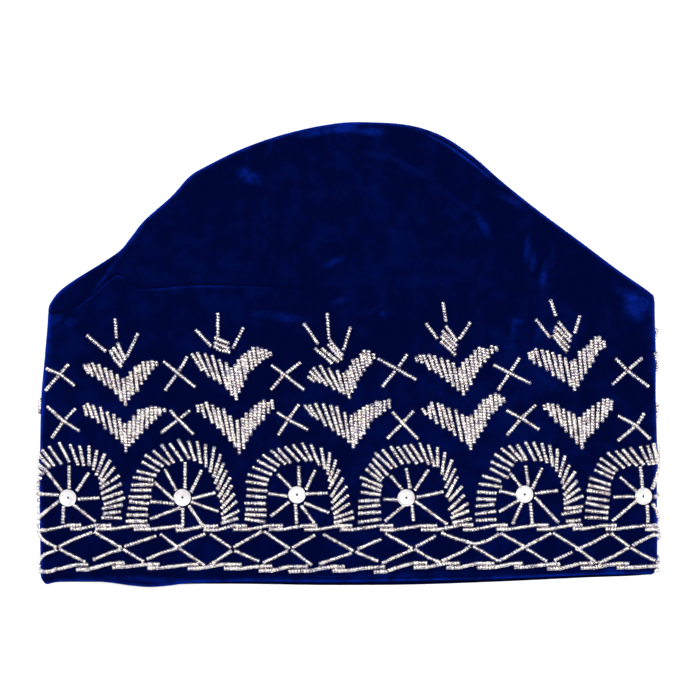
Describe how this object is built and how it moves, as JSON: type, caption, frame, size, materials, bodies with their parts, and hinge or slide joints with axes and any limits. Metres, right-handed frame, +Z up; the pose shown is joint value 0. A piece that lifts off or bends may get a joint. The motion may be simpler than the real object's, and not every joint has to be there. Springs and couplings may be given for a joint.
{
  "type": "velvet hat",
  "caption": "Soft velvet cap lying folded flat: a domed crown sewn to a tall side band embroidered with silver beads and sequins, open at the mouth for a head.",
  "frame": {"origin": "under the middle of the folded cap, on the surface it lies on", "axes": "+X along the mouth from the tucked side to the other folded side, +Y from the mouth to the top of the crown, +Z up from the surface through the flat cap"},
  "size_m": [0.2905, 0.2186, 0.0143],
  "materials": {
    "velvet": "deep blue cut pile with a bright sheen at glancing angles",
    "sequin": "white, glossy, faintly iridescent",
    "silver_bead": "silver-lined glass, glossy"
  },
  "bodies": {
    "root": {"side_band": "velvet", "crown": "velvet", "sequin_01": "sequin", "sequin_02": "sequin", "sequin_03": "sequin", "sequin_04": "sequin", "sequin_05": "sequin", "sequin_06": "sequin", "sequin_07": "sequin", "sequin_08": "sequin", "sequin_09": "sequin", "sequin_10": "sequin", "sequin_11": "sequin"}
  },
  "joints": []
}
